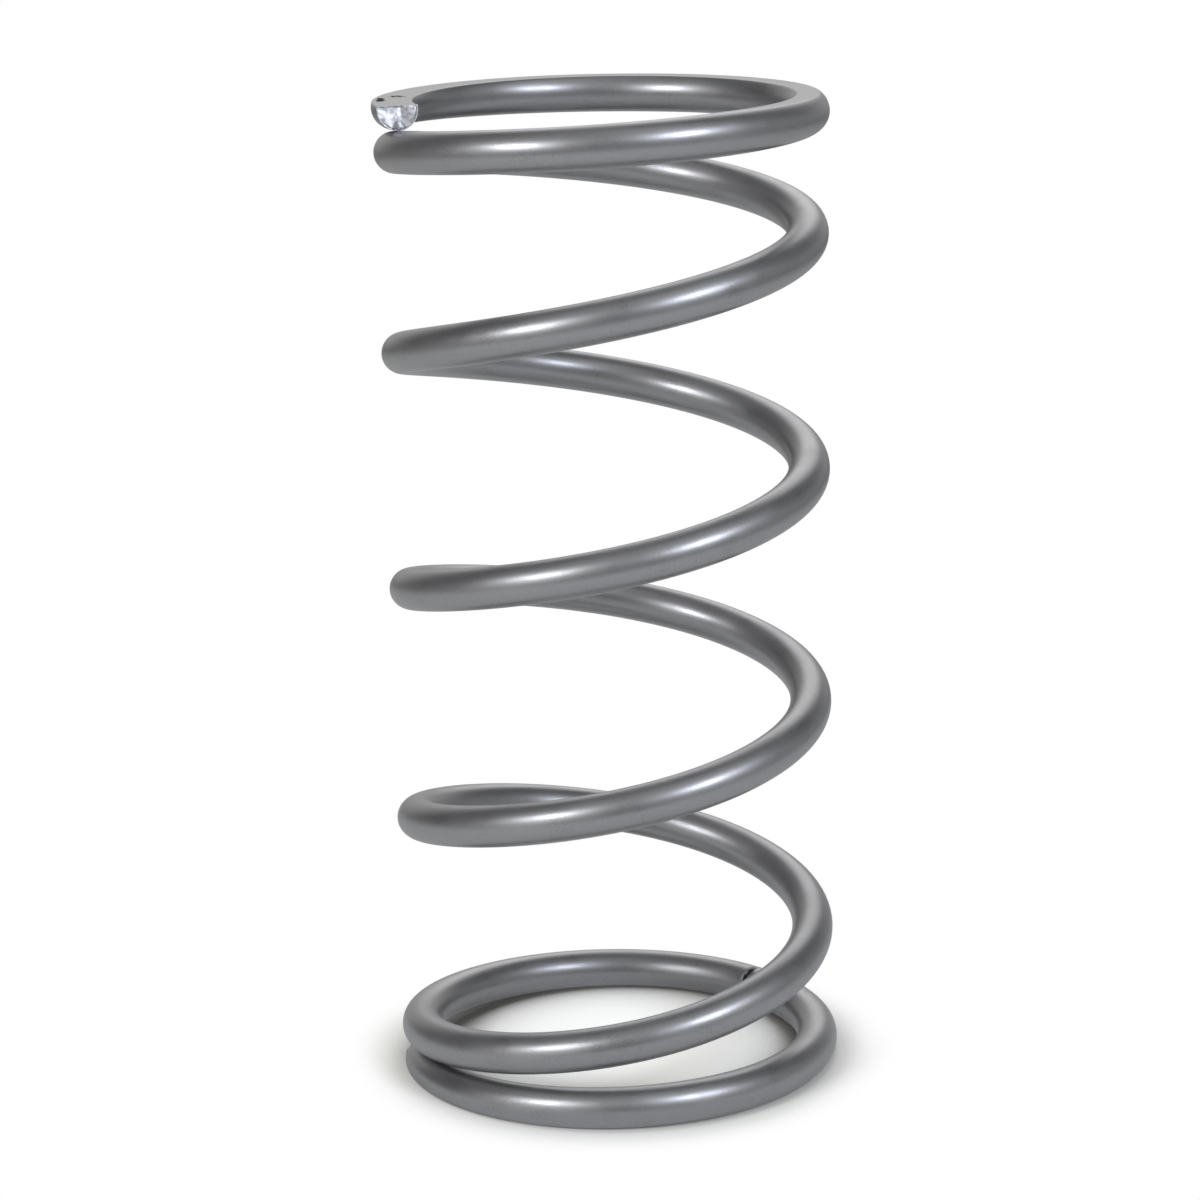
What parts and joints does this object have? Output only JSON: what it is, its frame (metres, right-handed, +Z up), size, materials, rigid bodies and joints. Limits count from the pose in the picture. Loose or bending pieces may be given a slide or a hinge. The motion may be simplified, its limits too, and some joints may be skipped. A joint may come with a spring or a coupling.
{
  "type": "helical compression spring",
  "caption": "Right-hand wound compression spring of round steel wire, with closed and ground end turns that sit flat between two seats and push them apart.",
  "frame": {"origin": "plane of the lower ground face, under the middle of the coil's outline seen from above", "axes": "+Z up the coil from the lower ground face to the upper one, -Y towards the picture's viewer, -X towards the side where both wire tips lie"},
  "size_m": [0.1272, 0.1312, 0.2794],
  "materials": {
    "coil_spring": "silver-grey powder coat, semi-gloss; the two sheared wire tips are bare bright steel"
  },
  "bodies": {
    "root": {"coil_spring": "coil_spring"}
  },
  "joints": []
}
